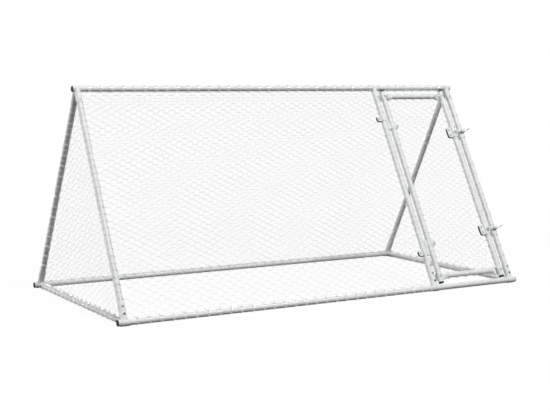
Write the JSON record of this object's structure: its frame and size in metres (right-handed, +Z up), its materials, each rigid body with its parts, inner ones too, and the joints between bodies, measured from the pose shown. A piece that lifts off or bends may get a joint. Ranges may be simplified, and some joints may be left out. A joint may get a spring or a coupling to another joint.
{
  "type": "chicken cage",
  "caption": "Triangular poultry run of galvanised steel tube covered in hexagonal wire netting, open underneath, with a hinged sloping netted door held by drop latches.",
  "frame": {"origin": "on the ground under the middle of the run", "axes": "+X along the ridge towards the door end, -Y out of the wall that holds the door, +Z up"},
  "size_m": [2.005, 1.009, 0.924],
  "materials": {
    "galvanised_tube": "galvanised, satin",
    "galvanised_fitting": "galvanised pressing, satin",
    "netting_wire": "galvanised wire",
    "zinc_fastener": "zinc plated",
    "black_plastic": "moulded, matte"
  },
  "bodies": {
    "frame": {"ridge_tube": "galvanised_tube", "front_rail": "galvanised_tube", "back_rail": "galvanised_tube", "front_left_leg": "galvanised_tube", "back_left_leg": "galvanised_tube", "front_right_leg": "galvanised_tube", "back_right_leg": "galvanised_tube", "left_cross_tube": "galvanised_tube", "right_cross_tube": "galvanised_tube", "door_post": "galvanised_tube", "left_apex_clamp": "galvanised_fitting", "right_apex_clamp": "galvanised_fitting", "front_left_foot_clamp": "galvanised_fitting", "back_left_foot_clamp": "galvanised_fitting", "front_right_foot_clamp": "galvanised_fitting", "back_right_foot_clamp": "galvanised_fitting", "post_top_clamp": "galvanised_fitting", "post_foot_clamp": "galvanised_fitting", "clamp_screws": "zinc_fastener", "tube_end_plugs": "black_plastic", "front_netting": "netting_wire", "back_netting": "netting_wire", "left_netting": "netting_wire", "right_netting": "netting_wire", "lower_hinge_pintle": "galvanised_fitting", "upper_hinge_pintle": "galvanised_fitting", "post_hinge_bolts": "zinc_fastener", "post_hinge_nuts": "zinc_fastener", "lower_latch_keeper": "galvanised_fitting", "upper_latch_keeper": "galvanised_fitting", "keeper_bolts": "zinc_fastener", "keeper_nuts": "zinc_fastener"},
    "door": {"hinge_stile": "galvanised_tube", "latch_stile": "galvanised_tube", "door_bottom_rail": "galvanised_tube", "door_top_rail": "galvanised_tube", "stile_plugs": "black_plastic", "door_rail_bolts": "zinc_fastener", "door_rail_nuts": "zinc_fastener", "door_netting": "netting_wire", "lower_hinge_eye": "galvanised_fitting", "upper_hinge_eye": "galvanised_fitting", "door_hinge_bolts": "zinc_fastener", "door_hinge_nuts": "zinc_fastener", "lower_latch_clamp": "galvanised_fitting", "upper_latch_clamp": "galvanised_fitting", "latch_clamp_bolts": "zinc_fastener", "latch_clamp_nuts": "zinc_fastener", "latch_pivots": "zinc_fastener"},
    "lower_latch": {"lower_latch_bar": "galvanised_fitting"},
    "upper_latch": {"upper_latch_bar": "galvanised_fitting"}
  },
  "joints": [
    {"name": "door_swing", "type": "hinge", "parent": "frame", "child": "door", "pos_m": [0.554, -0.49, 0.0145], "axis": [0, -0.4802, -0.8771], "range_deg": [0, 90]},
    {"name": "lower_latch_swing", "type": "hinge", "parent": "door", "child": "lower_latch", "pos_m": [0.93, -0.38527, 0.25016], "axis": [0, -0.8771, 0.4802], "range_deg": [0, 110]},
    {"name": "upper_latch_swing", "type": "hinge", "parent": "door", "child": "upper_latch", "pos_m": [0.93, -0.13826, 0.70132], "axis": [0, -0.8771, 0.4802], "range_deg": [0, 110]}
  ]
}
